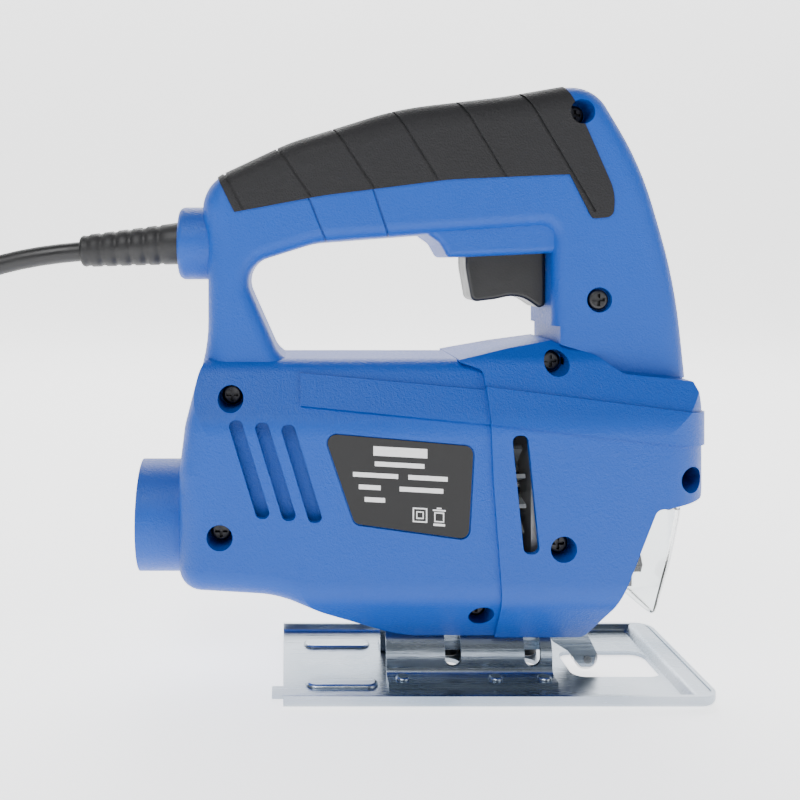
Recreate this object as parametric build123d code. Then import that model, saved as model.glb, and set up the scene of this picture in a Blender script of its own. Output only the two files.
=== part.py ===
from build123d import *
import os
from math import asin, cos, degrees, hypot, pi, radians, sin, tan

# Corded jigsaw with a D-handle.  Millimetres.
# X runs forward along the tool, Y to its left, Z up.
# The origin is where the blade axis meets the underside of the base.

os.makedirs("parts", exist_ok=True)

# ---------------------------------------------------------------- driving dimensions
WALL = 2.5                 # moulded shells
BODY_HALF = 33.0           # half the width of the rear body
COVER_PROUD = 1.2          # the gear cover stands this far outside the rear body
HANDLE_HALF = 19.0         # half the width of the handle and its columns
HANDLE_ROUND = 9.0         # rounding along the outside of the handle
OPENING_ROUND = 5.0        # rounding round the hand opening
BODY_FLOOR = 17.0          # underside of the body
BELT_HEIGHT = 1.0          # raised band round the body
NOSE_R = 17.0              # rounding of the gear cover's nose

BASE_REAR = -122.0
BASE_FRONT = 28.3
BASE_HALF = 33.5
LIP_HEIGHT = 4.3
SHEET = 1.5                # base and saddle sheet
TILT_AXIS_Z = 8.0
SADDLE_R = 12.0            # outside of the saddle's arch
SADDLE_REAR = -84.4
SADDLE_FRONT = -23.8
BEVEL_SCREWS_X = (-60.0, -31.0)

MOTOR_Z = 70.0
GEAR_MODULE = 0.8
PINION_TEETH = 8
GEAR_TEETH = 56
GEAR_Z = MOTOR_Z + GEAR_MODULE * (PINION_TEETH + GEAR_TEETH) / 2
STROKE = 18.0
ROD_R = 3.5

PORT_Z = 58.0
PORT_R = 20.5
PORT_BORE_R = 18.0
PORT_MOUTH_X = -175.0
PORT_DEPTH = 25.0

BOSS_X = -161.0            # rear face of the cord boss
BOSS_Z = 160.0
BOSS_R = 13.6
SLEEVE_END = (-198.0, 157.0)
CORD_R = 3.7
SCREW_HOLE_R = 4.5

COIL_CENTRE = (-364.0, -1.0)
COIL_R = 40.0              # middle of the turns
COIL_WIDE = 2              # turns side by side
COIL_HIGH = 3              # turns on top of each other

LABEL = [(-108, 94.2, 3), (-56.6, 89.7, 3), (-58.3, 57.9, 3), (-97.4, 63.3, 3)]
SLEEVE_HOLE_R = 8.1
LOCK_R = 4.5
LOCK_X = -42.0
LOCK_Z = 172.0
BEVEL_R = 2.5
GUARD_HALF = 14.0
GUARD_X = 18.5
GUARD_Z = 64.8
GUARD_PIN_R = 1.1
FORK_SCREW_R = 1.5
FORK_SCREW_X = -17.0
BOSS_WALL = 1.7
SHANK_R = 2.0
BEZEL = [(-70, 168, 0), (-70, 163.2, 0), (-65.5, 160, 4), (-62.5, 154.6, 2), (-22, 156.4, 0), (-22, 168, 0)]
BEZEL_HALF = 16.5
SHANK_HOLE_R = 2.1
HEAD_R = 3.7
HEAD_HEIGHT = 2.6
GRIP_PROUD = 0.6
GRIP_BED = 1.2
BLADE_OPENING = (-16.0, 17.0, 11.5, 5.0)
ROLLER_X = -9.0
ROLLER_Z = 5.3
ROLLER_R = 4.5
STATOR = (-106.0, -66.0)
FAN_X = (-45.0, -37.0)
FAN_R = 26.5
CASE_X = (-35.5, -32.4)
UPPER = (110.6, 116.0)
LOWER = (61.0, 71.0)
ARBOR_R = 4.0
BUSH_R = 5.0
GEAR_FACE = (-19.0, -12.0)
PIN_Y = STROKE / 2
PLUG_HALF_THICK = 6.9
PLUG_TURN = -55.0

BIG = 400.0


# ---------------------------------------------------------------- helpers
def loop_face(points):
    """A closed outline of (a, b, corner radius) points as a face on XY."""
    line = FilletPolyline(*[(a, b) for a, b, r in points], radius=[r for a, b, r in points], close=True)
    return make_face(line)


def side_plate(points, half_width, grow=0.0, y=0.0):
    """An outline seen from the side (X, Z), given thickness both ways about y."""
    face = loop_face(points)
    if grow:
        face = offset(face, amount=grow, kind=Kind.INTERSECTION)
    return Pos(0, y, 0) * extrude(Plane.XZ * face, amount=half_width, both=True)


def section_bar(points, x0, x1, grow=0.0):
    """An outline seen from the front (Y, Z), drawn out from x0 to x1."""
    face = loop_face(points)
    if grow:
        face = offset(face, amount=grow)
    return extrude(Plane.YZ.offset(x0) * face, amount=x1 - x0)


def box(x0, x1, y0, y1, z0, z1):
    return Pos((x0 + x1) / 2, (y0 + y1) / 2, (z0 + z1) / 2) * Box(x1 - x0, y1 - y0, z1 - z0)


def rod_x(radius, x0, x1, y=0.0, z=0.0):
    return Pos((x0 + x1) / 2, y, z) * Rot(0, 90, 0) * Cylinder(radius, x1 - x0)


def rod_y(radius, y0, y1, x=0.0, z=0.0):
    return Pos(x, (y0 + y1) / 2, z) * Rot(90, 0, 0) * Cylinder(radius, y1 - y0)


def rod_z(radius, z0, z1, x=0.0, y=0.0):
    return Pos(x, y, (z0 + z1) / 2) * Cylinder(radius, z1 - z0)


def ring_x(outer, inner, x0, x1, z):
    return rod_x(outer, x0, x1, z=z) - rod_x(inner, x0 - 1, x1 + 1, z=z)


def rims(solid, half_width, keep):
    """Edges of the two flat sides of a side plate."""
    return [e for e in solid.edges() if abs(abs(e.center().Y) - half_width) < 0.01 and keep(e.center())]


def both_sides(shape):
    return shape + mirror(shape, Plane.XZ)


RIGHT = box(-BIG, BIG, -BIG, 0, -BIG, BIG)
LEFT = box(-BIG, BIG, 0, BIG, -BIG, BIG)
nodes = {}


# ---------------------------------------------------------------- housing and cover volumes
REAR_OUTLINE = [
    (-158.5, 80, 6), (-156.5, 96, 20), (-150, 121, 10), (-30, 121, 0), (-30, BODY_FLOOR, 0),
    (-79, BODY_FLOOR, 40), (-106, 29, 60), (-124, 36.5, 40), (-158.5, 38.5, 8),
]
REAR_SECTION = [
    (-12.5, BODY_FLOOR, 1), (12.5, BODY_FLOOR, 1), (BODY_HALF, 37.5, 14), (BODY_HALF, 97, 14),
    (20, 118.3, 9), (-20, 118.3, 9), (-BODY_HALF, 97, 14), (-BODY_HALF, 37.5, 14),
]
COVER_OUTLINE = [
    (-75, 118, 0), (-60, 118.3, 0), (-41, 122.2, 0), (-25, 124.7, 0), (-22.7, 123.5, 0), (-10.7, 120, 6),
    (-2.6, 113.8, 8), (21.5, 111.3, 0), (26.6, 98, 6), (25.6, 75, 0), (24.4, 71, 2), (6, 68.2, 3),
    (-6.6, 36, 60), (-13.4, BODY_FLOOR, 3), (-75, BODY_FLOOR, 0),
]
COVER_SECTION = [
    (-12.5, BODY_FLOOR, 1), (12.5, BODY_FLOOR, 1), (BODY_HALF, 37.5, 14), (BODY_HALF, 97, 12),
    (21.5, 117.5, 8), (11, 126, 6), (-11, 126, 6), (-21.5, 117.5, 8), (-BODY_HALF, 97, 12),
    (-BODY_HALF, 37.5, 14),
]
# everything in front of the main seam and under the foot of the front column
COVER_REGION = [
    (-59.5, 130, 0), (-59.5, 117.6, 0), (-51.5, 115, 3), (-50, 78, 30), (-44, 0, 0), (90, 0, 0), (90, 111.3, 0),
    (21.5, 111.3, 0), (-2.6, 113.8, 8), (-10.7, 120, 6), (-22.7, 123.5, 0), (-22.7, 130, 0),
]
HANDLE_OUTLINE = [
    (-158.3, 88, 0), (-149.5, 124, 60), (-149.5, 160, 60), (-153, 180.5, 14), (-119.5, 196.2, 80),
    (-80, 208.4, 120), (-41, 213, 200), (-9.5, 218.5, 15), (8.5, 188.5, 120), (20.8, 146, 200), (26.8, 88, 0),
]
HAND_OPENING = [
    (-134, 152.5, 9), (-110, 160, 30), (-68, 163.2, 30), (-25, 166, 4), (-25, 112, 3), (-113, 112, 3),
    (-124, 120.5, 8), (-134.5, 144, 9),
]


def rear_volume(grow=0.0):
    half = BODY_HALF + grow
    body = side_plate(REAR_OUTLINE, half, grow)
    body = fillet(rims(body, half, lambda c: c.X < -31 - grow and c.Z < 118), 9 + min(grow, 0))
    return body & section_bar(REAR_SECTION, -BIG, BIG, grow)


def cover_volume(grow=0.0):
    half = BODY_HALF + COVER_PROUD + grow
    nose = 26.8 + grow
    plan = loop_face([(-90, -half, 0), (nose, -half, NOSE_R + grow), (nose, half, NOSE_R + grow), (-90, half, 0)])
    body = side_plate(COVER_OUTLINE, half + 1, grow) & extrude(plan, amount=200)
    return body & section_bar(COVER_SECTION, -BIG, BIG, COVER_PROUD + grow)


def handle_volume(grow=0.0):
    half = HANDLE_HALF + grow
    body = side_plate(HANDLE_OUTLINE, half, grow)
    body = fillet(rims(body, half, lambda c: c.Z > 100), HANDLE_ROUND + grow)
    body = body - side_plate(HAND_OPENING, BIG, -grow)
    inner = rims(body, half, lambda c: 100 < c.Z < 172 and -142 < c.X < -20)
    return fillet(inner, OPENING_ROUND + min(grow, 0))


rear_out = rear_volume()
rear_in = rear_volume(-WALL) & box(-BIG, BIG, -BIG, BIG, BODY_FLOOR + 6, BIG)
cover_out = cover_volume()
cover_in = cover_volume(-WALL) & box(-BIG, BIG, -BIG, BIG, BODY_FLOOR + 6, BIG)
handle_out = handle_volume()
handle_in = handle_volume(-WALL)
region = side_plate(COVER_REGION, BIG)

# The saddle's arch turns in a groove along the underside.
SADDLE_GROOVE = rod_x(SADDLE_R + 0.35, SADDLE_REAR - 2, SADDLE_FRONT + 0.6, z=TILT_AXIS_Z)

# Raised bands: (top line, bottom line) on the rear body and on the cover.
REAR_BELT = [(-116, 114, 0), (-45, 107.9, 0), (-45, 96.9, 0), (-116, 103.4, 0)]
COVER_BELT = [(-60, 110.8, 0), (40, 98.9, 0), (40, 87.6, 0), (-60, 98.7, 0)]


def belt(volume, outer, lines):
    return (volume & side_plate(lines, BIG)) - outer


rear_belt = belt(rear_volume(BELT_HEIGHT), rear_out, REAR_BELT)
cover_belt = belt(cover_volume(BELT_HEIGHT), cover_out, COVER_BELT)


# ---------------------------------------------------------------- screws of the shells
# (x, z, depth of the counterbore floor from the middle plane)
HOUSING_SCREWS = [
    (-140.3, 105.4, 14.0), (-143.8, 58.4, 21.5), (-52.2, 28.5, 12.0), (-8.9, 139.5, 15.5), (-14.8, 207.0, 6.0),
]
COVER_SCREWS = [(-26.0, 54.8, 24.0), (19.0, 78.0, 12.0), (-25.3, 117.3, 12.0)]


def boss(x, z, outer):
    """A screw post right across the housing, trimmed by its outside."""
    return rod_y(SCREW_HOLE_R + BOSS_WALL - 0.6, -BODY_HALF - 3, BODY_HALF + 3, x, z) & outer


def screw_hole(x, z, floor):
    """Counterbore from the right and a shank hole that ends inside the left half."""
    return rod_y(SCREW_HOLE_R, -BIG, -floor, x, z) + rod_y(SHANK_HOLE_R, -floor - 1, 13, x, z)


def screw(x, z, floor):
    """Cross-head screw with its head on the counterbore floor."""
    head = rod_y(HEAD_R, -floor - HEAD_HEIGHT, -floor, x, z)
    head = fillet(head.edges().sort_by(Axis.Y)[0], 1.2)
    cross = box(-0.55, 0.55, -floor - HEAD_HEIGHT - 1, -floor - 1.1, -2.2, 2.2)
    cross = cross + box(-2.2, 2.2, -floor - HEAD_HEIGHT - 1, -floor - 1.1, -0.55, 0.55)
    shank = rod_y(SHANK_R, -floor, 12, x, z)
    return head - Pos(x, 0, z) * cross + shank


# ---------------------------------------------------------------- housing halves
GRIP_REGION = [
    (-139.5, 170.9, 0), (-108, 176.8, 120), (-62, 182.6, 100), (-19.6, 184.4, 0),
    (-11.6, 168.5, 2), (-4, 169.2, 3), (-3.4, 178, 18), (-20, 216, 0), (-24, 240, 0), (-174, 240, 0),
]


grip_region = side_plate(GRIP_REGION, BIG)


def slanted_slot(x_top, z_top, x_bottom, z_bottom, width, y0, y1):
    """A slot through the side walls, as a leaning bar."""
    half = width / 2
    shape = [(x_top - half, z_top, half * 0.8), (x_top + half, z_top, half * 0.8),
             (x_bottom + half, z_bottom, half * 0.8), (x_bottom - half, z_bottom, half * 0.8)]
    bar = side_plate(shape, BIG)
    return bar & (box(-BIG, BIG, y0, y1, 0, BIG) + box(-BIG, BIG, -y1, -y0, 0, BIG))


def build_housing():
    port = rod_x(PORT_R, PORT_MOUTH_X, -147.5, z=PORT_Z)
    cord_boss = rod_x(BOSS_R, BOSS_X, -140, z=BOSS_Z)
    cord_boss = fillet(cord_boss.edges().sort_by(Axis.X)[0], 2.5)
    outer = rear_out + handle_out + cord_boss
    shell = outer + rear_belt - rear_in - handle_in
    shell = shell - (rod_x(BOSS_R - WALL, -150, -138, z=BOSS_Z)) + port
    for x, z, floor in HOUSING_SCREWS:
        shell = shell + boss(x, z, outer)
    # wall that carries the rear bearing, and a baffle behind the vents
    bearing_wall = box(-140.5, -133.5, -31.5, 31.5, MOTOR_Z - 4, MOTOR_Z + 4)
    bearing_wall = bearing_wall + rod_x(12.5, -140.5, -133.5, z=MOTOR_Z)
    shell = shell + (bearing_wall & rear_out)
    baffle = box(-146, -108, 26.4, 27.8, 58, 104) + box(-146, -108, 27, 32, 58, 60) + box(-146, -108, 27, 32, 102, 104)
    shell = shell + (both_sides(baffle) & rear_out)
    for x, z, floor in HOUSING_SCREWS:
        shell = shell - screw_hole(x, z, floor)
    shell = shell - rod_x(9.5, -140.2, -130, z=MOTOR_Z) - rod_x(5.5, -145, -130, z=MOTOR_Z)
    shell = shell - rod_x(PORT_BORE_R, PORT_MOUTH_X - 1, PORT_MOUTH_X + PORT_DEPTH, z=PORT_Z)
    shell = shell - box(-150.2, -146, -8, 8, 42, 47)
    for k in range(3):
        shell = shell - slanted_slot(-141.3 + 2.5 + 9 * k, 98.6 - 0.7 * k, -131 + 2.5 + 9 * k, 65 - 0.7 * k, 5, 29, 40)
    shell = shell - rod_x(SLEEVE_HOLE_R, BOSS_X - 1, -140, z=BOSS_Z)
    shell = shell - side_plate(LABEL, 1.0, 0.5, y=-BODY_HALF) - SADDLE_GROOVE - region
    bezel = side_plate(BEZEL, BEZEL_HALF)
    bezel = fillet(rims(bezel, BEZEL_HALF, lambda c: c.Z < 161), 2.5)
    shell = shell + (bezel - handle_in)
    shell = shell - box(-55.3, -25.05, -9, 9, 150, 171) - box(-60, -25.05, -10, 10, 156, 171)
    shell = shell - rod_y(LOCK_R + 0.35, 12, 30, LOCK_X, LOCK_Z)
    shell = shell - ((handle_out - handle_volume(-GRIP_BED)) & grip_region)
    for x in BEVEL_SCREWS_X[:1]:
        shell = shell + (rod_z(5, 19, 30, x) - SADDLE_GROOVE) - rod_z(BEVEL_R + 0.02, 10, 30.1, x)
    return shell


housing = build_housing()
nodes["housing_right"] = housing & RIGHT
nodes["housing_left"] = housing & LEFT


# ---------------------------------------------------------------- gear cover halves
def build_cover():
    shell = (cover_out - cover_in) & region
    shell = shell + (cover_belt & region)
    for x, z, floor in COVER_SCREWS:
        shell = shell + (boss(x, z, cover_out) & region)
    # ears that carry the chip guard's pins
    ear = rod_y(2.2, GUARD_HALF - 4.6, GUARD_HALF - 2.3, GUARD_X, GUARD_Z)
    ear = ear + box(GUARD_X - 2.2, GUARD_X + 2.2, GUARD_HALF - 4.6, GUARD_HALF - 2.3, GUARD_Z, GUARD_Z + 9)
    shell = shell + both_sides(ear)
    for x, z, floor in COVER_SCREWS:
        shell = shell - screw_hole(x, z, floor)
    # way for the plunger and the blade clamp, and the opening under the front column
    shell = shell - box(-9, 60, -GUARD_HALF + 4.7, GUARD_HALF - 4.7, 0, 62) - box(-9, 9, -9, 9, 61, 71.4)
    shell = shell - box(-21, 9, -16, 16, 106, 130) - rod_x(14, -36, -28.2, z=MOTOR_Z)
    shell = shell - rod_y(GUARD_PIN_R + 0.1, -GUARD_HALF, GUARD_HALF, GUARD_X, GUARD_Z)
    shell = shell - slanted_slot(-41, 93.8, -36.9, 53.2, 5.5, 29, 40)
    shell = shell - SADDLE_GROOVE
    x = BEVEL_SCREWS_X[1]
    shell = shell + (rod_z(5, 19, 30, x) - SADDLE_GROOVE) - rod_z(BEVEL_R + 0.02, 10, 30.1, x)
    shell = shell - rod_z(FORK_SCREW_R + 0.02, 10, 27, FORK_SCREW_X)
    return shell


cover = build_cover()
nodes["gear_cover_right"] = cover & RIGHT
nodes["gear_cover_left"] = cover & LEFT
nodes["housing_screws"] = Compound([screw(x, z, floor) for x, z, floor in HOUSING_SCREWS])
nodes["cover_screws"] = Compound([screw(x, z, floor) for x, z, floor in COVER_SCREWS])


# ---------------------------------------------------------------- rubber grip
def build_grip():
    band = handle_volume(GRIP_PROUD) - handle_volume(-GRIP_BED)
    grip = band & grip_region
    groove_ends = [
        (-142.8, 184, -135, 169), (-123.5, 193, -111, 174.7), (-103.5, 200.5, -88, 177),
        (-82, 207, -65, 179.5), (-59, 211, -41, 181), (-36, 214, -16.5, 181),
    ]
    core = handle_out
    for x0, z0, x1, z1 in groove_ends:
        lean = hypot(x1 - x0, z1 - z0)
        along = Pos((x0 + x1) / 2, 0, (z0 + z1) / 2) * Rot(0, -degrees(asin((x1 - x0) / lean)) + 0, 0)
        cut = along * Box(0.9, 60, lean * 1.6)
        grip = grip - (cut - core)
    return grip - rod_y(SCREW_HOLE_R, -BIG, 0, -14.8, 207) - rod_x(BOSS_R, BOSS_X, -140, z=BOSS_Z)


grip = build_grip()
nodes["grip_pad_right"] = grip & RIGHT
nodes["grip_pad_left"] = grip & LEFT


# ---------------------------------------------------------------- rating plate
nodes["rating_plate"] = side_plate(LABEL, 0.3, y=-BODY_HALF + 0.7)


# ---------------------------------------------------------------- base, tilting about a line along X
def pan(grow_x, z_floor, inset):
    shape = box(BASE_REAR - grow_x, BASE_FRONT - inset, -BASE_HALF + inset, BASE_HALF - inset, z_floor, 20)
    corners = shape.edges().filter_by(Axis.Z).group_by(Axis.X)[-1]
    shape = fillet(corners, 6 - inset)
    rounded = [e for e in shape.edges().group_by(Axis.Z)[0] if e.center().X > BASE_REAR - grow_x + 1]
    return fillet(rounded, 2.5 - inset)


def build_base_plate():
    plate = (pan(0, 0, 0) - pan(5, SHEET, SHEET)) & box(-BIG, BIG, -BIG, BIG, -1, LIP_HEIGHT)
    # rounded front rail, hollow underneath
    rail = section_along_y([(17.5, 0, 0), (BASE_FRONT, 0, 0), (BASE_FRONT, LIP_HEIGHT, 3), (19.5, LIP_HEIGHT, 2.5),
                            (17.5, SHEET, 0)], BASE_HALF - 0.4)
    rail = rail & pan(0, 0, 0)
    hollow = section_along_y([(20.5, -1, 0), (BASE_FRONT - 1.8, -1, 0), (BASE_FRONT - 1.8, LIP_HEIGHT - SHEET, 1.5),
                              (20.5, LIP_HEIGHT - SHEET, 1)], BASE_HALF - 3)
    plate = plate + rail - hollow
    opening = side_box_rounded(BLADE_OPENING)
    plate = plate - opening
    # pressed beads either side of the saddle and a groove behind it
    for y in (-17.5, 17.5):
        bead = box(-114, -88, y - 4, y + 4, 0, SHEET + 1.2)
        bead = fillet(bead.edges().filter_by(Axis.Z), 3.9)
        bead = fillet(bead.edges().group_by(Axis.Z)[-1], 1.2)
        under = box(-113, -89, y - 3, y + 3, -1, 1.2)
        plate = plate + bead - fillet(under.edges().filter_by(Axis.Z), 2.9)
    for x in BEVEL_SCREWS_X:
        plate = plate - rod_z(5, -1, 3, x)
    # spur behind the rear edge
    return plate + box(BASE_REAR - 4, BASE_REAR + 1, -26, -19, 0, SHEET)


def section_along_y(points, half):
    return extrude(Plane.XZ * loop_face(points), amount=half, both=True)


def side_box_rounded(opening):
    x0, x1, half, radius = opening
    block = box(x0, x1, -half, half, -1, 3)
    return fillet(block.edges().filter_by(Axis.Z), radius)


def build_saddle():
    arch = ring_x(SADDLE_R, SADDLE_R - SHEET, SADDLE_REAR, SADDLE_FRONT, TILT_AXIS_Z)
    arch = arch & box(-BIG, BIG, -BIG, BIG, TILT_AXIS_Z, BIG)
    foot_top = 2 * SHEET
    half = [(-SADDLE_R, TILT_AXIS_Z, 0), (-SADDLE_R, foot_top, 2.2), (-20, foot_top, 0), (-20, SHEET, 0),
            (-SADDLE_R + SHEET, SHEET, 0.7), (-SADDLE_R + SHEET, TILT_AXIS_Z, 0)]
    foot = section_bar(half, SADDLE_REAR, SADDLE_FRONT)
    saddle = arch + both_sides(foot)
    # curved slots that let the base tilt round the screws
    for x in BEVEL_SCREWS_X:
        sweep = box(x - 2.95, x + 2.95, -30, 30, TILT_AXIS_Z + 0.4, 40)
        ends = rod_y(2.95, -30, 30, x, TILT_AXIS_Z + 0.4)
        saddle = saddle - sweep - (ends & box(-BIG, BIG, -BIG, BIG, 4, BIG))
    return saddle


nodes["base_plate"] = build_base_plate()
nodes["base_saddle"] = build_saddle()
rivet = rod_z(2.6, 2 * SHEET, 2 * SHEET + 1.1)
rivet = fillet(rivet.edges().group_by(Axis.Z)[-1], 0.9)
nodes["saddle_rivets"] = Compound([Pos(x, y, 0) * rivet for x in (-79, -45.5, -28) for y in (-16.6, 16.6)])


# ---------------------------------------------------------------- what the tilting base is clamped to
def bevel_screw(x):
    head = rod_z(4.2, TILT_AXIS_Z - 2.2, TILT_AXIS_Z + 0.8, x)
    head = fillet(head.edges().group_by(Axis.Z)[0], 1)
    slot = box(x - 5, x + 5, -0.6, 0.6, 0, TILT_AXIS_Z - 1)
    return head - slot + rod_z(BEVEL_R, TILT_AXIS_Z, 30, x)


nodes["bevel_screws"] = Compound([bevel_screw(x) for x in BEVEL_SCREWS_X])
clamp = ring_x(SADDLE_R - SHEET - 0.3, 8.2, -66, -25, TILT_AXIS_Z) & box(-BIG, BIG, -6.5, 6.5, TILT_AXIS_Z, BIG)
clamp = clamp + (box(-66, -25, -5, 5, TILT_AXIS_Z + 0.8, TILT_AXIS_Z + 9) & rod_x(9, -66, -25, z=TILT_AXIS_Z))
for x in BEVEL_SCREWS_X:
    clamp = clamp - rod_z(BEVEL_R + 0.02, 0, 40, x)
nodes["bevel_clamp_plate"] = clamp

# ---------------------------------------------------------------- blade guide roller in its fork
fork_cheek = [(-22, 16.9, 0), (-10, 16.9, 1), (-5.6, 8, 2), (-6.5, 2.4, 2), (-11.5, 2.4, 2), (-16, 8.2, 4), (-22, 12, 1)]
fork = side_plate(fork_cheek, 5.1) - box(-BIG, BIG, -3.6, 3.6, -BIG, 15.4)
fork = fork - rod_y(1.52, -9, 9, ROLLER_X, ROLLER_Z) - rod_z(FORK_SCREW_R + 0.02, 10, 20, FORK_SCREW_X)
nodes["roller_fork"] = fork
fork_head = rod_z(2.8, 13.6, 15.4, FORK_SCREW_X)
nodes["fork_screw"] = fork_head - box(-25, -5, -0.4, 0.4, 13, 14.4) + rod_z(FORK_SCREW_R, 15, 26.5, FORK_SCREW_X)
roller = rod_y(ROLLER_R, -3.2, 3.2, ROLLER_X, ROLLER_Z) - rod_y(1.56, -9, 9, ROLLER_X, ROLLER_Z)
groove = rod_y(ROLLER_R + 1, -0.7, 0.7, ROLLER_X, ROLLER_Z) - rod_y(ROLLER_R - 0.9, -2, 2, ROLLER_X, ROLLER_Z)
nodes["guide_roller"] = roller - groove
nodes["roller_pin"] = rod_y(1.5, -5.9, 5.9, ROLLER_X, ROLLER_Z)


# ---------------------------------------------------------------- trigger, lock button, switch
def build_trigger():
    side = [(-54.8, 162, 0), (-54.8, 151, 20), (-52.5, 138.2, 2.5), (-44, 139.2, 12), (-35, 141.2, 12),
            (-27.5, 135.9, 2), (-25.4, 137, 1), (-25.4, 162, 0)]
    shape = side_plate(side, 8.5)
    lower = [e for e in rims(shape, 8.5, lambda c: c.Z < 155)]
    shape = fillet(lower, 1.4)
    return shape


nodes["trigger"] = build_trigger()
button = rod_y(LOCK_R, 12.8, 22.4, LOCK_X, LOCK_Z)
nodes["lock_on_button"] = fillet(button.edges().sort_by(Axis.Y)[-1], 1)
switch = fillet(box(-56, -27, -8.5, 8.5, 168.5, 187).edges().filter_by(Axis.Y), 1.5)
nodes["switch_body"] = switch
nodes["capacitor"] = fillet(box(-144, -133.5, -7, 7, 117, 131).edges().filter_by(Axis.Y), 2)


# ---------------------------------------------------------------- motor
def sector_bar(inner, outer, x0, x1, z, half_angle):
    """Part of a ring along X, either side of straight up and straight down."""
    ring = ring_x(outer, inner, x0, x1, z)
    reach = 3 * outer
    spread = reach * tan(radians(half_angle))
    wedge = section_bar([(0, z, 0), (spread, z + reach, 0), (-spread, z + reach, 0)], x0 - 1, x1 + 1)
    wedge = wedge + section_bar([(0, z, 0), (spread, z - reach, 0), (-spread, z - reach, 0)], x0 - 1, x1 + 1)
    return ring & wedge


yoke_ring = ring_x(27, 22.4, STATOR[0], STATOR[1], MOTOR_Z)
nodes["stator_core"] = yoke_ring + sector_bar(17.6, 23, STATOR[0], STATOR[1], MOTOR_Z, 48)
coils = ring_x(22, 18.4, STATOR[0] - 8, STATOR[1] + 8, MOTOR_Z)
coils = coils - sector_bar(17, 23.5, STATOR[0] - 0.5, STATOR[1] + 0.5, MOTOR_Z, 49)
nodes["field_coils"] = coils - box(-BIG, BIG, -BIG, BIG, MOTOR_Z - 0.6, MOTOR_Z + 0.6)

core = rod_x(17, STATOR[0] + 1, STATOR[1] - 1, z=MOTOR_Z) - rod_x(4, -200, 0, z=MOTOR_Z)
for k in range(12):
    slot = box(STATOR[0], STATOR[1], -1, 1, 14, 18)
    core = core - Pos(0, 0, MOTOR_Z) * Rot(30 * k, 0, 0) * slot
nodes["armature_core"] = core


def end_winding(x0, x1):
    ring = rod_x(15, x0, x1, z=MOTOR_Z)
    ring = fillet(ring.edges(), 2.4)
    return ring - rod_x(4, -200, 0, z=MOTOR_Z)


nodes["armature_windings"] = Compound([end_winding(STATOR[0] - 6, STATOR[0] + 1), end_winding(STATOR[1] - 1, STATOR[1] + 6)])
commutator = rod_x(11, -125, -113, z=MOTOR_Z) - rod_x(4, -200, 0, z=MOTOR_Z)
for k in range(24):
    commutator = commutator - Pos(0, 0, MOTOR_Z) * Rot(15 * k, 0, 0) * box(-126, -114.5, -0.25, 0.25, 10.2, 12)
nodes["commutator"] = commutator
nodes["armature_shaft"] = rod_x(4, -127, -9, z=MOTOR_Z) + rod_x(3, -140, -127, z=MOTOR_Z)
nodes["bearing_rear"] = ring_x(9.5, 3.03, -140, -134, MOTOR_Z)
nodes["bearing_front"] = ring_x(11, 4.03, -35.5, -28.5, MOTOR_Z)


def gear(teeth, x0, x1, y, z, turn):
    """Straight-toothed gear with slim teeth, so that it runs with backlash."""
    pitch_r = GEAR_MODULE * teeth / 2
    root_r = pitch_r - 1.2 * GEAR_MODULE
    tip_r = pitch_r + 0.85 * GEAR_MODULE
    tooth = pi * GEAR_MODULE * 0.40
    wheel = rod_x(root_r, x0, x1)
    profile = [(-tooth * 0.75, root_r - 0.3, 0), (tooth * 0.75, root_r - 0.3, 0), (tooth * 0.26, tip_r, 0),
               (-tooth * 0.26, tip_r, 0)]
    one = section_bar(profile, x0, x1)
    cogs = [Rot(turn + 360 * k / teeth, 0, 0) * one for k in range(teeth)]
    wheel = wheel.fuse(*cogs)
    return Pos(0, y, z) * wheel


nodes["pinion"] = gear(PINION_TEETH, -20, -10, 0, MOTOR_Z, 0) - rod_x(1.6, -30, 0, z=MOTOR_Z)
nodes["armature_shaft"] = nodes["armature_shaft"] & box(-BIG, -20, -BIG, BIG, 0, BIG)
nodes["armature_shaft"] = nodes["armature_shaft"] + rod_x(1.6, -20.5, -9, z=MOTOR_Z)


def build_fan():
    wheel = ring_x(FAN_R, 4, FAN_X[0], FAN_X[0] + 1.4, MOTOR_Z) + ring_x(9, 4, FAN_X[0], FAN_X[1], MOTOR_Z)
    vane = box(FAN_X[0] + 1, FAN_X[1], -0.7, 0.7, 8, FAN_R)
    for k in range(16):
        wheel = wheel + Pos(0, 0, MOTOR_Z) * Rot(22.5 * k + 5, 0, 0) * vane
    return wheel


nodes["fan"] = build_fan()

holder = box(-123.5, -114.5, 12, 25.5, MOTOR_Z - 5.5, MOTOR_Z + 5.5) - box(-122, -116, 11, 24.5, MOTOR_Z - 4, MOTOR_Z + 4)
nodes["brush_holders"] = both_sides(holder)
nodes["carbon_brushes"] = both_sides(box(-121.9, -116.1, 11.1, 19.5, MOTOR_Z - 3.9, MOTOR_Z + 3.9))
spring = rod_y(2.6, 19.5, 24.5, -119, MOTOR_Z) - rod_y(2.0, 19, 26, -119, MOTOR_Z)
nodes["brush_springs"] = both_sides(spring)

# ---------------------------------------------------------------- gear case, gear and plunger


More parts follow.
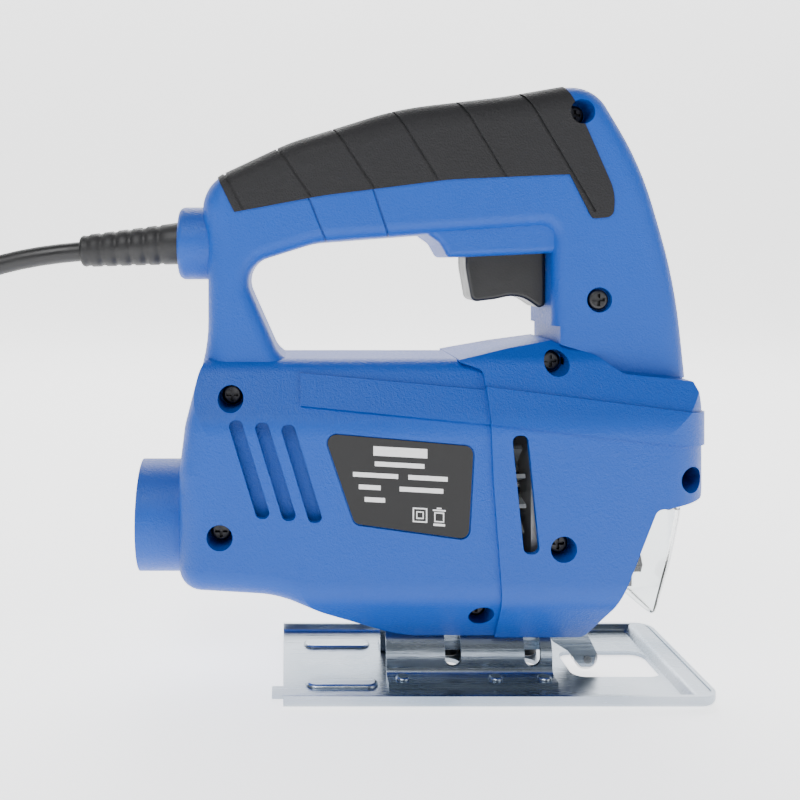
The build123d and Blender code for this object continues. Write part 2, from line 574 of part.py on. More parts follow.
def build_gear_case():
    section = [(-27, 47, 6), (27, 47, 6), (28, 100, 6), (19, 111, 4), (-19, 111, 4), (-28, 100, 6)]
    case = section_bar(section, CASE_X[0], CASE_X[1])
    case = case + rod_x(13.5, CASE_X[0], -28.5, z=MOTOR_Z)
    # side rails, a bar that holds the lower bushing and a bridge that holds the upper one
    case = case + both_sides(box(CASE_X[0] + 1, 1.1, 24.3, 27, 64, 98) + box(0, 6.5, 24.3, 27, 73, 98))
    case = case + box(-6.5, 1.1, -26, 26, LOWER[0] + 3, LOWER[1]) + box(-6.5, 6.5, -8.6, 8.6, LOWER[0] + 3, LOWER[1])
    case = case + both_sides(box(-6.5, 6.5, 14.6, 25, 96, 103) + box(-6.5, 6.5, 14.6, 18.6, 102, 109.8))
    case = case + both_sides(box(-6.5, 6.5, 14.6, 15.7, 102, 112.6))
    case = case + box(-6.5, 6.5, -15.7, 15.7, UPPER[0] - 0.4, UPPER[0] + 2.4)
    case = case + rod_z(7, UPPER[0] - 0.4, UPPER[1] - 0.5)
    case = case - rod_x(11, CASE_X[0] - 1, -28, z=MOTOR_Z) - rod_x(ARBOR_R, -40, -30, z=GEAR_Z)
    return case - rod_z(BUSH_R, 50, 130)


nodes["gear_case"] = build_gear_case()
nodes["gear_arbor"] = rod_x(ARBOR_R, CASE_X[0], -12.2, z=GEAR_Z)
wheel = gear(GEAR_TEETH, GEAR_FACE[0], GEAR_FACE[1], 0, GEAR_Z, 180 / GEAR_TEETH)
wheel = wheel - rod_x(ARBOR_R + 0.03, -40, GEAR_FACE[1] - 0.15, z=GEAR_Z)
web = ring_x(19, 13, GEAR_FACE[0] - 1, GEAR_FACE[0] + 2, GEAR_Z)
nodes["main_gear"] = wheel - web
nodes["crank_pin"] = rod_x(2.4, GEAR_FACE[1], -8.5, y=PIN_Y, z=GEAR_Z)


def build_yoke():
    outside = [(-14, GEAR_Z - 5, 4.9), (14, GEAR_Z - 5, 4.9), (14, GEAR_Z + 5, 4.9), (-14, GEAR_Z + 5, 4.9)]
    slot = [(-11.7, GEAR_Z - 2.6, 2.5), (11.7, GEAR_Z - 2.6, 2.5), (11.7, GEAR_Z + 2.6, 2.5), (-11.7, GEAR_Z + 2.6, 2.5)]
    return section_bar(outside, -8, -3.6) - section_bar(slot, -8, -5.5)


nodes["yoke"] = build_yoke() - rod_z(ROD_R, 40, 130)
nodes["plunger_rod"] = rod_z(ROD_R, 38, 125)
nodes["bushing_upper"] = rod_z(BUSH_R, UPPER[0] - 0.3, UPPER[1]) - rod_z(ROD_R + 0.03, 50, 130)
nodes["bushing_lower"] = rod_z(BUSH_R, LOWER[0] + 2, LOWER[1] + 0.5) - rod_z(ROD_R + 0.03, 50, 130)
clamp_block = fillet(box(-5, 7.5, -6.2, 6.2, 33, 49).edges().filter_by(Axis.Z), 1.5)
nodes["blade_clamp"] = clamp_block - rod_z(ROD_R, 38, 60) - box(-4, 4.2, -0.65, 0.65, 32, 46) - rod_x(2.0, 0, 10, z=40)
hex_face = RegularPolygon(3.6, 6)
hex_head = extrude(Plane.YZ.offset(7.5) * Pos(0, 40, 0) * hex_face, amount=4.5)
nodes["clamp_screw"] = hex_head - rod_x(1.6, 10, 13, z=40) + rod_x(2.0, 4.4, 7.6, z=40)


# ---------------------------------------------------------------- chip guard
def build_guard():
    profile = [(6.2, 67.6, 0.6), (22.7, 68.7, 4), (22.3, 61, 8), (18.8, 44, 40), (12.8, 24.4, 1.6), (9, 27, 5), (-4.5, 38.5, 1)]
    outside = side_plate(profile, GUARD_HALF)
    front = [e for e in rims(outside, GUARD_HALF, lambda c: c.X > 15 and c.Z < 68)]
    outside = fillet(front, 1.4)
    inner = [(-30, 80, 0), (21.0, 80, 0), (21.0, 66, 4), (20.6, 62, 8), (17.1, 44, 40), (9.5, 15, 0), (-30, 15, 0)]
    hollow = side_plate(inner, GUARD_HALF - 1.8)
    ear_way = box(GUARD_X + 2.2, GUARD_X + 8, GUARD_HALF - 4.9, GUARD_HALF - 1.8, GUARD_Z - 2, GUARD_Z + 6)
    return outside - hollow - both_sides(ear_way) - cover_volume(0.35)


guard = build_guard()
pin = rod_y(GUARD_PIN_R, GUARD_HALF - 4.2, GUARD_HALF - 1.0, GUARD_X, GUARD_Z)
nodes["chip_guard"] = guard + both_sides(pin)


# ---------------------------------------------------------------- mains lead
def tube(points, radius):
    """Straight runs joined by arcs as large as each pair of runs allows."""
    bends = []
    for before, here, after in zip(points, points[1:], points[2:]):
        a = Vector(*here) - Vector(*before)
        b = Vector(*after) - Vector(*here)
        bends.append(0.45 * min(a.length, b.length) / tan(radians(a.get_angle(b)) / 2))
    print("bend radii", [round(b) for b in bends])
    line = FilletPolyline(*points, radius=bends)
    start = Plane(origin=line @ 0, z_dir=line % 0)
    solid = sweep(start * Circle(radius), path=line)
    print("volume against section times length", round(solid.volume), round(pi * radius ** 2 * line.length))
    return solid


def build_sleeve():
    lean = degrees(asin((BOSS_Z - SLEEVE_END[1]) / hypot(BOSS_X - SLEEVE_END[0], BOSS_Z - SLEEVE_END[1])))
    long = hypot(BOSS_X - SLEEVE_END[0], BOSS_Z - SLEEVE_END[1])
    taper = Pos(BOSS_X, 0, BOSS_Z) * Rot(0, -lean, 0) * Rot(0, -90, 0) * Pos(0, 0, long / 2) * Cone(7.9, 6, long)
    neck = rod_x(8, BOSS_X - 0.5, -150, z=BOSS_Z) + rod_x(9.8, -150, -146, z=BOSS_Z)
    return taper + neck - rod_x(2.6, -160, -140, z=BOSS_Z)


nodes["strain_relief"] = build_sleeve()
leads = [tube([(-149, y, 160), (-133, y, 161), (-118, y, 176), (-88, y, 187), (-57.2, y, 181)], 1.1) for y in (-1.4, 1.4)]
nodes["inner_leads"] = Compound(leads)
bar = box(-143.5, -137.5, -9, 9, 162.6, 165.2)
nodes["cord_clamp"] = fillet(bar.edges().filter_by(Axis.X), 1.2)

sleeve_x, sleeve_z = SLEEVE_END
coil_x, coil_y = COIL_CENTRE
CORD_ROUTE = [
    (sleeve_x, 0, sleeve_z), (-224, 0, 154.9), (-256, -3, 141), (-279, -12, 108), (-294, -25, 68), (-308, -36, 33),
    (-330, -43, 10), (-358, -44.7, CORD_R),
]
nodes["cord"] = tube(CORD_ROUTE, CORD_R)

coil_outer = COIL_R + CORD_R * COIL_WIDE
coil_inner = COIL_R - CORD_R * COIL_WIDE
coil_high = 2 * CORD_R * COIL_HIGH
coil = rod_z(coil_outer, 0, coil_high, coil_x, coil_y)
coil = coil - rod_z(coil_inner, -1, coil_high + 1, coil_x, coil_y)
nodes["cord_coil"] = fillet(coil.edges().filter_by(GeomType.CIRCLE), 3)

# The end of the lead climbs round the top of the coil and the plug lies across its edge.
PLUG_REAR = (coil_x + 38.9, coil_y + 14.1)
PLUG_Z = coil_high + PLUG_HALF_THICK
# (angle, distance from the middle of the coil, height) of the climbing end
CLIMB = [(140, 36.3, 18.5), (110, 36.3, 20.0), (80, 37.0, 23.8), (50, 39.0, 27.4)]
TAIL_ROUTE = [
    (coil_x + reach * cos(radians(angle)), coil_y + reach * sin(radians(angle)), z) for angle, reach, z in CLIMB
] + [(*PLUG_REAR, PLUG_Z)]
nodes["cord_tail"] = tube(TAIL_ROUTE, CORD_R)


def build_plug():
    """Flat two-pin plug, lying on the coil with its pins away from the lead."""
    half_side = [(0, 5.5), (11, 6.5), (21, 16.4), (35, 17.6)]
    outline = [(x, -y, 0) for x, y in half_side] + [(x, y, 0) for x, y in reversed(half_side)]
    body = extrude(loop_face(outline), amount=PLUG_HALF_THICK, both=True)
    body = fillet(body.edges().filter_by(Axis.Z).group_by(Axis.X)[1], 8)
    body = fillet(body.edges().group_by(Axis.Z)[0] + body.edges().group_by(Axis.Z)[-1], 1.8)
    pins = Compound([rod_x(2, 35, 54, y) for y in (-9.3, 9.3)])
    place = Pos(PLUG_REAR[0], PLUG_REAR[1], PLUG_Z) * Rot(0, 0, PLUG_TURN)
    return place * body, place * pins


nodes["plug_body"], nodes["plug_pins"] = build_plug()

for name, shape in nodes.items():
    export_step(shape, f"parts/{name}.step")
    print(name, round(shape.volume), len(shape.solids()), shape.is_valid)
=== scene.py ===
from math import cos, hypot, pi, radians, sin

import bmesh
import bpy
from mathutils import Matrix, Vector


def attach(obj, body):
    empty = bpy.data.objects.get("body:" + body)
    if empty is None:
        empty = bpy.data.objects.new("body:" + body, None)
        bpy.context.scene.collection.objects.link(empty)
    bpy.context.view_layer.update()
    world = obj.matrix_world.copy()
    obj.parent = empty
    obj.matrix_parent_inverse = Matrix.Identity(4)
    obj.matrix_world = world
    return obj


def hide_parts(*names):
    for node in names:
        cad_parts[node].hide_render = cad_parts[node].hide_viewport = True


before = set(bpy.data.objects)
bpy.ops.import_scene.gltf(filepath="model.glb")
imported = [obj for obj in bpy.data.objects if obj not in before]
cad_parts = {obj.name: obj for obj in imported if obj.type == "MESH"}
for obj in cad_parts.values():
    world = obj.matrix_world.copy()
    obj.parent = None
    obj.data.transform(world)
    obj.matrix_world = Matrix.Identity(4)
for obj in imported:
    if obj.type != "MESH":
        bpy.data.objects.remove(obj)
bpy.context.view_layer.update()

# ---------------------------------------------------------------- camera
# The tool is seen from its right side, a little above the grip's underside, from about half a metre.
# The view looks straight across the tool, so the camera stays level and square to it.
camera_data = bpy.data.cameras.new("camera")
camera = bpy.data.objects.new("camera", camera_data)
bpy.context.scene.collection.objects.link(camera)
bpy.context.scene.camera = camera
camera.location = (-0.121, -0.363, 0.1545)
camera.rotation_euler = (radians(90), 0, 0)
camera_data.lens = 43.3
camera_data.sensor_width = 36
camera_data.shift_x = 0.1425
camera_data.shift_y = -0.1775
camera_data.clip_start = 0.01


# ---------------------------------------------------------------- mains lead
# Round black lead with a soft sheath, 7.4 mm across and about 1.7 m long, moulded into a flat two-pin plug.
# It leaves the sleeve, droops to the floor behind the tool and is wound into a neat coil, with the plug on top.
CORD_R = 0.0037
SLEEVE_END = Vector((-0.198, 0, 0.157))
COIL_CENTRE = Vector((-0.364, -0.001, 0))
COIL_R = 0.040
PLUG_REAR = (COIL_CENTRE.x + 0.0389, COIL_CENTRE.y + 0.0141, 0.0291)

lead_points = [
    (-0.198, 0, 0.157), (-0.224, 0, 0.1549), (-0.256, -0.003, 0.141), (-0.279, -0.012, 0.108),
    (-0.294, -0.025, 0.068), (-0.308, -0.036, 0.033), (-0.330, -0.043, 0.010), (-0.358, -0.0447, CORD_R),
]
# the end climbs inside the top turn: (angle in degrees, distance from the middle, height)
climb = [(140, 0.0363, 0.0185), (110, 0.0363, 0.020), (80, 0.0370, 0.0238), (50, 0.0390, 0.0274)]
tail_points = [
    (COIL_CENTRE.x + reach * cos(radians(angle)), COIL_CENTRE.y + reach * sin(radians(angle)), height)
    for angle, reach, height in climb
] + [PLUG_REAR]
# lanes of the coil: (steps outward of the middle radius, layer), in the order that they are wound
lanes = [(1, 0), (-1, 0), (-1, 1), (1, 1), (1, 2), (-1, 2)]
turn_steps = 16
coil_turns = 5.33
coil_points = []
for step in range(1, int(turn_steps * coil_turns)):
    turn = step / turn_steps
    lane = int(turn)
    onward = min(lane + 1, len(lanes) - 1)
    slide = max(0.0, (turn - lane - 0.75) * 4)
    side = lanes[lane][0] * (1 - slide) + lanes[onward][0] * slide
    layer = lanes[lane][1] * (1 - slide) + lanes[onward][1] * slide
    angle = -pi / 2 - 2 * pi * turn
    reach = COIL_R + side * CORD_R
    coil_points.append((COIL_CENTRE.x + reach * cos(angle), COIL_CENTRE.y + reach * sin(angle),
                        CORD_R + 2 * CORD_R * layer))
route = lead_points + coil_points + tail_points

lead_curve = bpy.data.curves.new("mains_lead", "CURVE")
lead_curve.dimensions = "3D"
lead_curve.bevel_depth = CORD_R
lead_curve.bevel_resolution = 6
lead_curve.resolution_u = 6
lead_curve.use_fill_caps = True
spline = lead_curve.splines.new("NURBS")
spline.points.add(len(route) - 1)
for point, place in zip(spline.points, route):
    point.co = (*place, 1)
spline.order_u = 3
spline.use_endpoint_u = True
mains_lead = bpy.data.objects.new("mains_lead", lead_curve)
bpy.context.scene.collection.objects.link(mains_lead)

# Each material is built from procedural noise on object coordinates, so the grain stays with the piece.
# A Sock is an output in the node tree, and arithmetic on it adds the node that does it.
class Sock:
    def __init__(self, shade, socket):
        self.shade = shade
        self.socket = socket

    def math(self, operation, *values):
        return self.shade.node("ShaderNodeMath", {"operation": operation}, dict(enumerate(values)))

    def __add__(self, other):
        return self.math("ADD", self, other)

    def __sub__(self, other):
        return self.math("SUBTRACT", self, other)

    def __mul__(self, other):
        return self.math("MULTIPLY", self, other)

    def __rsub__(self, other):
        return self.math("SUBTRACT", other, self)

    __radd__ = __add__
    __rmul__ = __mul__

    def between(self, low, high, to_low=0.0, to_high=1.0):
        """Maps low..high onto to_low..to_high, held at the ends."""
        return self.shade.node("ShaderNodeMapRange", {"clamp": True},
                               {0: self, 1: low, 2: high, 3: to_low, 4: to_high})


class Shade:
    """A material with one Principled shader."""

    def __init__(self, name, **constants):
        self.material = bpy.data.materials.new(name)
        self.material.use_nodes = True
        self.tree = self.material.node_tree
        self.tree.nodes.clear()
        output = self.tree.nodes.new("ShaderNodeOutputMaterial")
        self.shader = self.tree.nodes.new("ShaderNodeBsdfPrincipled")
        self.tree.links.new(self.shader.outputs[0], output.inputs[0])
        for key, value in constants.items():
            self.shader.inputs[key.replace("_", " ")].default_value = value
        self.place = self.node("ShaderNodeTexCoord", {}, {}, "Object")

    def node(self, kind, settings, inputs, output=0):
        made = self.tree.nodes.new(kind)
        for key, value in settings.items():
            setattr(made, key, value)
        for key, value in inputs.items():
            if isinstance(value, Sock):
                self.tree.links.new(value.socket, made.inputs[key])
            else:
                made.inputs[key].default_value = value
        return Sock(self, made.outputs[output])

    def stretched(self, x, y, z):
        """Object coordinates scaled per axis."""
        return self.node("ShaderNodeVectorMath", {"operation": "MULTIPLY"}, {0: self.place, 1: (x, y, z)})

    def noise(self, scale, detail=2.0, rough=0.5, at=None):
        return self.node("ShaderNodeTexNoise", {},
                         {"Vector": at or self.place, "Scale": scale, "Detail": detail, "Roughness": rough})

    def cells(self, scale, at=None):
        return self.node("ShaderNodeTexVoronoi", {}, {"Vector": at or self.place, "Scale": scale}, "Distance")

    def mix(self, amount, first, second):
        """A colour between two colours."""
        made = self.tree.nodes.new("ShaderNodeMix")
        made.data_type = "RGBA"
        for key, value in ((0, amount), (6, first), (7, second)):
            if isinstance(value, Sock):
                self.tree.links.new(value.socket, made.inputs[key])
            elif key == 0:
                made.inputs[key].default_value = value
            else:
                made.inputs[key].default_value = (*value[:3], 1)
        return Sock(self, made.outputs[2])

    def feed(self, **inputs):
        """Joins varying values to the shader."""
        for key, value in inputs.items():
            self.tree.links.new(value.socket, self.shader.inputs[key.replace("_", " ")])

    def bump(self, height, distance, strength=1.0, after=None):
        """A bump of that real depth, in metres."""
        made = self.tree.nodes.new("ShaderNodeBump")
        made.inputs["Distance"].default_value = distance
        made.inputs["Strength"].default_value = strength
        self.tree.links.new(height.socket, made.inputs["Height"])
        if after is not None:
            self.tree.links.new(after.socket, made.inputs["Normal"])
        return Sock(self, made.outputs[0])


def paint(shade, *names):
    """Gives a material to CAD nodes."""
    for name in names:
        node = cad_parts[name]
        node.data.materials.clear()
        node.data.materials.append(shade.material)


sheath = Shade("cord_sheath_pvc", Roughness=0.42, Specular_IOR_Level=0.5)
haze = sheath.noise(60, 3)
sheath.feed(Base_Color=sheath.mix(haze, (0.005, 0.005, 0.006), (0.012, 0.012, 0.013)),
            Roughness=haze.between(0.3, 0.7, 0.34, 0.52),
            Normal=sheath.bump(sheath.noise(1800, 2), 0.00006))
lead_curve.materials.append(sheath.material)
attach(mains_lead, "housing")
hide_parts("cord", "cord_coil", "cord_tail")
paint(sheath, "plug_body")

# ---------------------------------------------------------------- strain relief sleeve
# Black rubber sleeve clamped in the cord boss; it tapers towards the lead and has shallow flexing rings.
# It is moulded in one piece with a collar that the boss holds, so a tug on the lead doesn't reach the wires.
sleeve_root = Vector((-0.161, 0, 0.160))
sleeve_axis = (SLEEVE_END - sleeve_root).normalized()
sleeve_length = (SLEEVE_END - sleeve_root).length
COLLAR_R = 0.0095
SLEEVE_R = 0.0079
SLEEVE_TAPER = 0.0019
RING_DIP = 0.0004
RING_PITCH = 0.0054
FIRST_RING = 0.003
ring_count = 6
profile = [(-0.0145, 0.0), (-0.0145, COLLAR_R), (-0.011, COLLAR_R), (-0.011, SLEEVE_R), (0.0, SLEEVE_R),
           (0.0006, SLEEVE_R)]
for k in range(ring_count):
    start = FIRST_RING + k * RING_PITCH
    for along, dip in ((0, 0), (0.0032, 0), (0.0037, RING_DIP), (0.0049, RING_DIP)):
        reach = start + along
        profile.append((reach, SLEEVE_R - SLEEVE_TAPER * reach / sleeve_length - dip))
profile += [(sleeve_length - 0.0014, 0.0060), (sleeve_length - 0.0004, 0.0056), (sleeve_length, 0.0050),
            (sleeve_length, 0.0036)]
bm = bmesh.new()
ends = [bm.verts.new((along, radius, 0)) for along, radius in profile]
for near, far in zip(ends, ends[1:]):
    bm.edges.new((near, far))
bmesh.ops.spin(bm, geom=bm.verts[:] + bm.edges[:], cent=(0, 0, 0), axis=(1, 0, 0), angle=2 * pi, steps=48,
               use_merge=True)
turn_to_axis = sleeve_axis.to_track_quat("X", "Z").to_matrix().to_4x4()
bmesh.ops.transform(bm, matrix=Matrix.Translation(sleeve_root) @ turn_to_axis, verts=bm.verts)
def new_piece(name, mesh, smooth=True):
    """A mesh object at the origin, in the scene."""
    for face in mesh.polygons:
        face.use_smooth = smooth
    piece = bpy.data.objects.new(name, mesh)
    bpy.context.scene.collection.objects.link(piece)
    return piece


def mesh_from(bm, name):
    """Writes the bmesh out with its normals facing outwards."""
    bmesh.ops.recalc_face_normals(bm, faces=bm.faces)
    mesh = bpy.data.meshes.new(name)
    bm.to_mesh(mesh)
    bm.free()
    return mesh


sleeve = new_piece("strain_relief_sleeve", mesh_from(bm, "strain_relief_sleeve"))
sleeve_rubber = Shade("sleeve_rubber", Roughness=0.5)
mottle = sleeve_rubber.noise(90, 3)
sleeve_rubber.feed(Base_Color=sleeve_rubber.mix(mottle, (0.005, 0.005, 0.006), (0.013, 0.013, 0.014)),
                   Roughness=mottle.between(0.3, 0.7, 0.4, 0.6),
                   Normal=sleeve_rubber.bump(sleeve_rubber.noise(2200, 2), 0.00008))
sleeve.data.materials.append(sleeve_rubber.material)
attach(sleeve, "housing")
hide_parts("strain_relief")

# ---------------------------------------------------------------- blue housing and gear cover
# Glass-filled nylon, moulded against a fine spark-eroded texture, with a slight sheen and faint handling marks.
blue = Shade("blue_nylon", Roughness=0.4, Specular_IOR_Level=0.35)
cloud = blue.noise(14, 3)
pores = blue.cells(2600)
speckle = blue.noise(1100, 2)
blue_tone = blue.mix(cloud, (0.0, 0.058, 0.35), (0.0, 0.070, 0.41))
across = blue.node("ShaderNodeSeparateXYZ", {}, {0: blue.place}, "X")
upward = blue.node("ShaderNodeSeparateXYZ", {}, {0: blue.place}, "Z")


def groove(x0, z0, x1, z1, half):
    """Zero along a line on the handle's sides, one away from it."""
    length = hypot(x1 - x0, z1 - z0)
    side_x, side_z = (z0 - z1) / length, (x1 - x0) / length
    off = across * side_x + upward * side_z - (x0 * side_x + z0 * side_z)
    run_x, run_z = x1 - x0, z1 - z0
    along = (across * run_x + upward * run_z - (x0 * run_x + z0 * run_z)) * (1 / length ** 2) - 0.5
    beyond = along.math("ABSOLUTE", along).between(0.5, 0.53)
    return off.math("MAXIMUM", off.math("ABSOLUTE", off).between(0.0, half), beyond)


# two fine grooves carry on from the grip's seams, down to the hand opening; the darker blue laid along them is
# painted shade
groove_and_painted_shade = groove(-0.1128, 0.1760, -0.1058, 0.1585, 0.0005)
groove_and_painted_shade = groove_and_painted_shade.math("MINIMUM", groove_and_painted_shade, groove(-0.0900, 0.1798, -0.0836, 0.1605, 0.0005))
pitted = blue.bump(pores, 0.00008, 0.9, blue.bump(groove_and_painted_shade, 0.0005))
# the darker blue where the groove mask is low is painted shade in the grooves, not a colour of the nylon
blue.feed(Base_Color=blue.mix(groove_and_painted_shade, (0.0, 0.030, 0.20), blue_tone),
          Roughness=speckle.between(0.3, 0.7, 0.36, 0.5) + (cloud - 0.5) * 0.1,
          Normal=blue.bump(speckle, 0.00016, 1.0, pitted))
paint(blue, "housing_right", "housing_left", "gear_cover_right", "gear_cover_left")

# ---------------------------------------------------------------- rubber over the handle
# Soft black rubber moulded over the shells, with a fine leather-like grain.
# It is shot over each nylon half in a second mould, and lies in a shallow bed so that its edge can't peel.
rubber = Shade("grip_rubber_soft", Roughness=0.62, Specular_IOR_Level=0.35)
grain = rubber.cells(1500)
dust = rubber.noise(25, 4)
rubber.feed(Base_Color=rubber.mix(dust, (0.006, 0.006, 0.007), (0.013, 0.013, 0.015)),
            Roughness=dust.between(0.3, 0.7, 0.52, 0.7),
            Normal=rubber.bump(grain, 0.00016, 0.9, rubber.bump(rubber.noise(700, 3), 0.00008)))
paint(rubber, "grip_pad_right", "grip_pad_left")

# ---------------------------------------------------------------- black mouldings
# Trigger, lock button, switch and cord clamp in satin black plastic.
# Each is injection moulded, with a faint flow pattern and finger scuffs.
black = Shade("black_moulding", Roughness=0.35)
scuff = black.noise(120, 4)
black.feed(Base_Color=black.mix(scuff, (0.004, 0.004, 0.005), (0.010, 0.010, 0.011)),
           Roughness=scuff.between(0.3, 0.7, 0.28, 0.45), Normal=black.bump(black.noise(1400, 2), 0.00004))
paint(black, "trigger", "lock_on_button", "switch_body", "cord_clamp")

# ---------------------------------------------------------------- rating plate
# Thin glossy black plate in a shallow recess, printed in white; the print here is plain bars.
# It is punched from sheet with rounded corners and glued down.
gloss = Shade("plate_gloss_black", Roughness=0.12, Specular_IOR_Level=0.3)
film = gloss.noise(40, 3)
gloss.feed(Base_Color=gloss.mix(film, (0.003, 0.003, 0.0035), (0.006, 0.006, 0.007)),
           Roughness=film.between(0.3, 0.7, 0.10, 0.20))
paint(gloss, "rating_plate")

# The print is white ink: plain bars where the words stood, the double square of double insulation and a bin.
INK_Y = -0.03263
INK_THICK = 0.00005
LINE_LEAN = 0.055
LEAN_FROM = 0.082


def ink_bar(bm, x0, x1, z0, z1):
    """One inked rectangle on the plate, in millimetres, sloping a little with the plate's upper edge."""
    size = Matrix.Diagonal(((x1 - x0) / 1000, INK_THICK, (z1 - z0) / 1000, 1))
    place = Matrix.Translation(((x0 + x1) / 2000, INK_Y - INK_THICK / 2, (z0 + z1) / 2000 - LINE_LEAN * LEAN_FROM))
    lean = Matrix.Identity(4)
    lean[2][0] = -LINE_LEAN
    bmesh.ops.create_cube(bm, size=1, matrix=lean @ place @ size)


def ink_square(bm, x, z, half, line):
    """The outline of a square."""
    ink_bar(bm, x - half, x + half, z - half, z - half + line)
    ink_bar(bm, x - half, x + half, z + half - line, z + half)
    ink_bar(bm, x - half, x - half + line, z - half + line, z + half - line)
    ink_bar(bm, x + half - line, x + half, z - half + line, z + half - line)


bm = bmesh.new()
bars = [(-91, -72.5, 86.2, 89.4), (-90.5, -73.5, 82.6, 84.2), (-98, -82.5, 78.6, 80.2), (-79, -65.5, 78.6, 80.2),
        (-96, -88.5, 74.4, 76), (-82, -67, 74.4, 76), (-94, -87, 70.2, 71.8)]
for bar in bars:
    ink_bar(bm, *bar)
ink_square(bm, -75, 66.6, 2.5, 0.45)
ink_square(bm, -75, 66.6, 1.3, 0.4)
ink_square(bm, -68.4, 66.2, 1.7, 0.4)
ink_bar(bm, -70.6, -66.2, 68.3, 68.8)
ink_bar(bm, -69.2, -67.6, 69.0, 69.5)
ink_bar(bm, -70.4, -66.4, 63.2, 64.0)
plate_print = new_piece("plate_print", mesh_from(bm, "plate_print"), smooth=False)
ink = Shade("white_ink", Roughness=0.45)
rub = ink.noise(900, 3)
ink.feed(Base_Color=ink.mix(rub, (0.72, 0.72, 0.72), (0.86, 0.86, 0.86)), Roughness=rub.between(0.3, 0.7, 0.35, 0.55))
plate_print.data.materials.append(ink.material)
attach(plate_print, "housing")

# ---------------------------------------------------------------- zinc-plated steel
# Base, saddle, rivets, roller fork and clamp plate are pressed from sheet and plated bright, with a bluish cast.
zinc = Shade("zinc_plate", Metallic=1.0, Roughness=0.3)
drift = zinc.noise(18, 3)
rolled = zinc.noise(160, 3, 0.6, zinc.stretched(0.25, 6, 6))
flecks = zinc.cells(500)
zinc_tone = zinc.mix(drift.between(0.3, 0.7), (0.27, 0.33, 0.40), (0.46, 0.50, 0.55))
waves = zinc.bump(zinc.noise(35, 3), 0.0004, 0.6, zinc.bump(flecks, 0.00003, 0.5))
zinc.feed(Base_Color=zinc_tone, Roughness=(rolled * 0.18) + (drift * 0.12) + 0.14,
          Normal=zinc.bump(rolled, 0.00010, 0.8, waves))
paint(zinc, "base_plate", "base_saddle", "saddle_rivets", "roller_fork", "fork_screw", "bevel_clamp_plate")

bright = Shade("ground_steel", Metallic=1.0, Roughness=0.22)
ground = bright.noise(300, 3)
bright.feed(Base_Color=bright.mix(ground, (0.58, 0.58, 0.59), (0.72, 0.72, 0.72)),
            Roughness=ground.between(0.3, 0.7, 0.16, 0.30), Normal=bright.bump(ground, 0.00001))
paint(bright, "guide_roller", "roller_pin", "plunger_rod", "gear_arbor", "crank_pin", "bearing_rear",
      "bearing_front", "armature_shaft", "pinion", "main_gear", "yoke", "brush_springs")

oxide = Shade("black_oxide", Metallic=1.0, Roughness=0.4)
rubbed = oxide.noise(400, 3)
oxide.feed(Base_Color=oxide.mix(rubbed, (0.03, 0.03, 0.032), (0.07, 0.07, 0.072)),
           Roughness=rubbed.between(0.3, 0.7, 0.3, 0.5), Normal=oxide.bump(rubbed, 0.00002))
paint(oxide, "housing_screws", "cover_screws", "bevel_screws", "blade_clamp", "clamp_screw")

# ---------------------------------------------------------------- motor and gear case
# Varnished laminations, enamelled wire, turned bronze and a cast case; seen only through the vents.
laminated = Shade("laminations", Metallic=1.0, Roughness=0.45)
sheets = laminated.noise(900, 1, 0.5, laminated.stretched(3, 0.05, 0.05))
laminated.feed(Base_Color=laminated.mix(sheets, (0.20, 0.20, 0.22), (0.38, 0.38, 0.40)),
               Roughness=sheets.between(0.3, 0.7, 0.35, 0.55), Normal=laminated.bump(sheets, 0.0001))
paint(laminated, "stator_core", "armature_core")

copper = Shade("enamelled_copper", Metallic=0.8, Roughness=0.3)
strands = copper.noise(1100, 1, 0.5, copper.stretched(0.3, 1, 1))
copper.feed(Base_Color=copper.mix(strands, (0.42, 0.16, 0.06), (0.72, 0.33, 0.14)),
            Roughness=strands.between(0.3, 0.7, 0.22, 0.4), Normal=copper.bump(strands, 0.0003))
paint(copper, "field_coils", "armature_windings", "commutator")

bronze = Shade("bronze", Metallic=1.0, Roughness=0.3)
tarnish = bronze.noise(200, 3)
bronze.feed(Base_Color=bronze.mix(tarnish, (0.55, 0.40, 0.18), (0.75, 0.60, 0.32)),
            Roughness=tarnish.between(0.3, 0.7, 0.2, 0.4), Normal=bronze.bump(tarnish, 0.00002))
paint(bronze, "bushing_upper", "bushing_lower", "brush_holders", "plug_pins")

carbon = Shade("carbon", Roughness=0.6)
soot = carbon.noise(500, 3)
carbon.feed(Base_Color=carbon.mix(soot, (0.02, 0.02, 0.02), (0.05, 0.05, 0.05)),
            Roughness=soot.between(0.3, 0.7, 0.5, 0.7), Normal=carbon.bump(soot, 0.00003))
paint(carbon, "carbon_brushes")

cast = Shade("cast_aluminium", Metallic=1.0, Roughness=0.5)
skin = cast.noise(600, 4)
cast.feed(Base_Color=cast.mix(skin, (0.45, 0.46, 0.47), (0.62, 0.62, 0.63)),
          Roughness=skin.between(0.3, 0.7, 0.4, 0.6), Normal=cast.bump(skin, 0.00012))
paint(cast, "gear_case")

grey = Shade("fan_grey", Roughness=0.5)
flow = grey.noise(150, 3)
grey.feed(Base_Color=grey.mix(flow, (0.20, 0.22, 0.23), (0.30, 0.32, 0.33)),
          Roughness=flow.between(0.3, 0.7, 0.4, 0.6), Normal=grey.bump(flow, 0.00004))
paint(grey, "fan")

yellow = Shade("capacitor_case", Roughness=0.35)
cured = yellow.noise(100, 3)
yellow.feed(Base_Color=yellow.mix(cured, (0.60, 0.46, 0.07), (0.70, 0.55, 0.10)),
            Roughness=cured.between(0.3, 0.7, 0.3, 0.45), Normal=yellow.bump(cured, 0.00003))
paint(yellow, "capacitor")

brown = Shade("lead_insulation", Roughness=0.4)
drawn = brown.noise(200, 3)
brown.feed(Base_Color=brown.mix(drawn, (0.13, 0.05, 0.02), (0.20, 0.08, 0.03)),
           Roughness=drawn.between(0.3, 0.7, 0.35, 0.5), Normal=brown.bump(drawn, 0.00003))
paint(brown, "inner_leads")

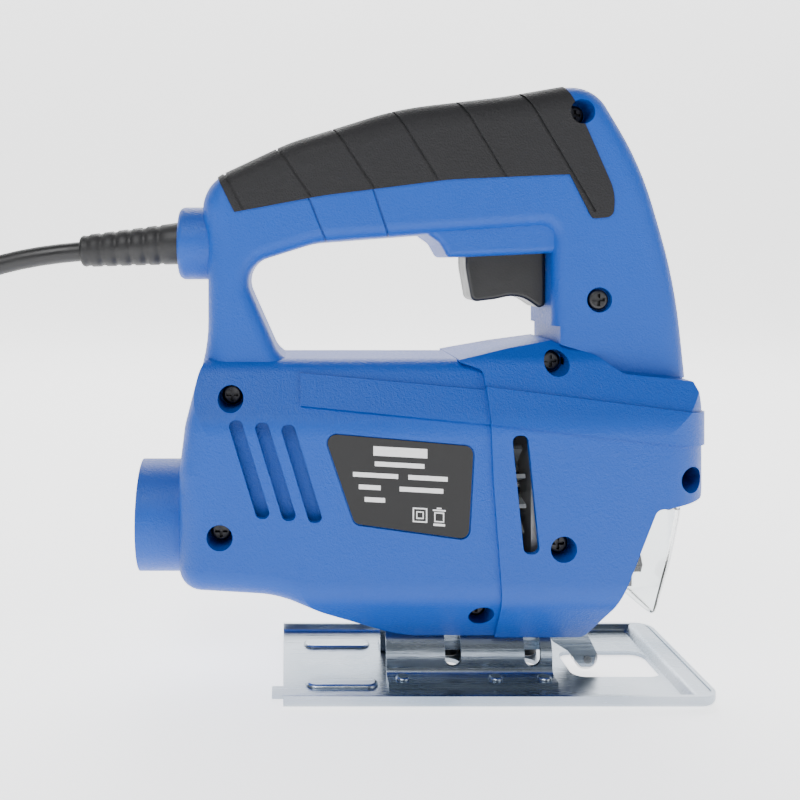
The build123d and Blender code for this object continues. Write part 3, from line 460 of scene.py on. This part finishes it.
# ---------------------------------------------------------------- chip guard
# Injection-moulded clear plastic, faintly smoky, with fine scratches.
# It hangs on two pins under the gear cover's nose and swings forward to reach the blade clamp.
clear = Shade("clear_guard_plastic", Roughness=0.06, Transmission_Weight=1.0, IOR=1.46)
scratches = clear.noise(240, 4, 0.7, clear.stretched(1, 1, 5))
clear.feed(Base_Color=clear.mix(scratches, (0.86, 0.89, 0.90), (0.93, 0.95, 0.95)),
           Roughness=scratches.between(0.45, 0.75, 0.03, 0.16), Normal=clear.bump(scratches, 0.00003, 0.4))
paint(clear, "chip_guard")

# ---------------------------------------------------------------- floor
# Matt pale card that glows a little, as a lit light table does.
# It runs back and curves up behind the tool, so that no horizon shows.
FLOOR_GLOW = 1.9
FLOOR_HALF = 5.0
FLOOR_NEAR = -4.0
SWEEP_START = 1.2
SWEEP_R = 1.0
WALL_TOP = 5.0
SWEEP_STEPS = 12


def drawn_on(bm, edge, move):
    """Extrudes an edge along a vector and gives the new edge."""
    made = bmesh.ops.extrude_edge_only(bm, edges=[edge])["geom"]
    bmesh.ops.translate(bm, vec=move, verts=[part for part in made if isinstance(part, bmesh.types.BMVert)])
    return next(part for part in made if isinstance(part, bmesh.types.BMEdge))


bm = bmesh.new()
edge = bm.edges.new([bm.verts.new((x, FLOOR_NEAR, 0)) for x in (-FLOOR_HALF, FLOOR_HALF)])
edge = drawn_on(bm, edge, (0, SWEEP_START - FLOOR_NEAR, 0))
curve = bmesh.ops.spin(bm, geom=[edge, *edge.verts], cent=(0, SWEEP_START, SWEEP_R), axis=(1, 0, 0), angle=pi / 2,
                       steps=SWEEP_STEPS)["geom_last"]
edge = next(part for part in curve if isinstance(part, bmesh.types.BMEdge))
drawn_on(bm, edge, (0, 0, WALL_TOP - SWEEP_R))
floor_mesh = bpy.data.meshes.new("floor")
bm.to_mesh(floor_mesh)
bm.free()
floor = new_piece("floor", floor_mesh)
pale = Shade("pale_floor", Roughness=0.8, Emission_Strength=FLOOR_GLOW)
wash = pale.noise(3, 2)
pale.feed(Base_Color=pale.mix(wash, (0.88, 0.88, 0.88), (0.92, 0.92, 0.92)),
          Emission_Color=pale.mix(wash, (0.98, 0.98, 0.98), (1.0, 1.0, 1.0)))
floor_mesh.materials.append(pale.material)

# ---------------------------------------------------------------- studio light
# Three soft boxes round a dim room: the key from the upper left in front, a fill and one from behind.
ROOM_LIGHT = 0.20
AIM = (-0.06, 0, 0.1)
world = bpy.data.worlds.new("studio")
bpy.context.scene.world = world
world.use_nodes = True
world.node_tree.nodes["Background"].inputs[0].default_value = (0.95, 0.97, 1.0, 1)
world.node_tree.nodes["Background"].inputs[1].default_value = ROOM_LIGHT


def soft_box(name, place, target, width, height, watts):
    light = bpy.data.lights.new(name, "AREA")
    light.shape = "RECTANGLE"
    light.size = width
    light.size_y = height
    light.energy = watts
    lamp = bpy.data.objects.new(name, light)
    bpy.context.scene.collection.objects.link(lamp)
    lamp.location = place
    lamp.rotation_euler = (Vector(target) - Vector(place)).to_track_quat("-Z", "Y").to_euler()


soft_box("key", (-0.5, -0.9, 1.1), AIM, 0.8, 0.6, 13)
soft_box("fill", (0.9, -0.8, 0.5), AIM, 0.7, 0.7, 3)
soft_box("rim", (0.0, 0.9, 0.9), (-0.06, 0, 0.12), 1.0, 0.4, 8)
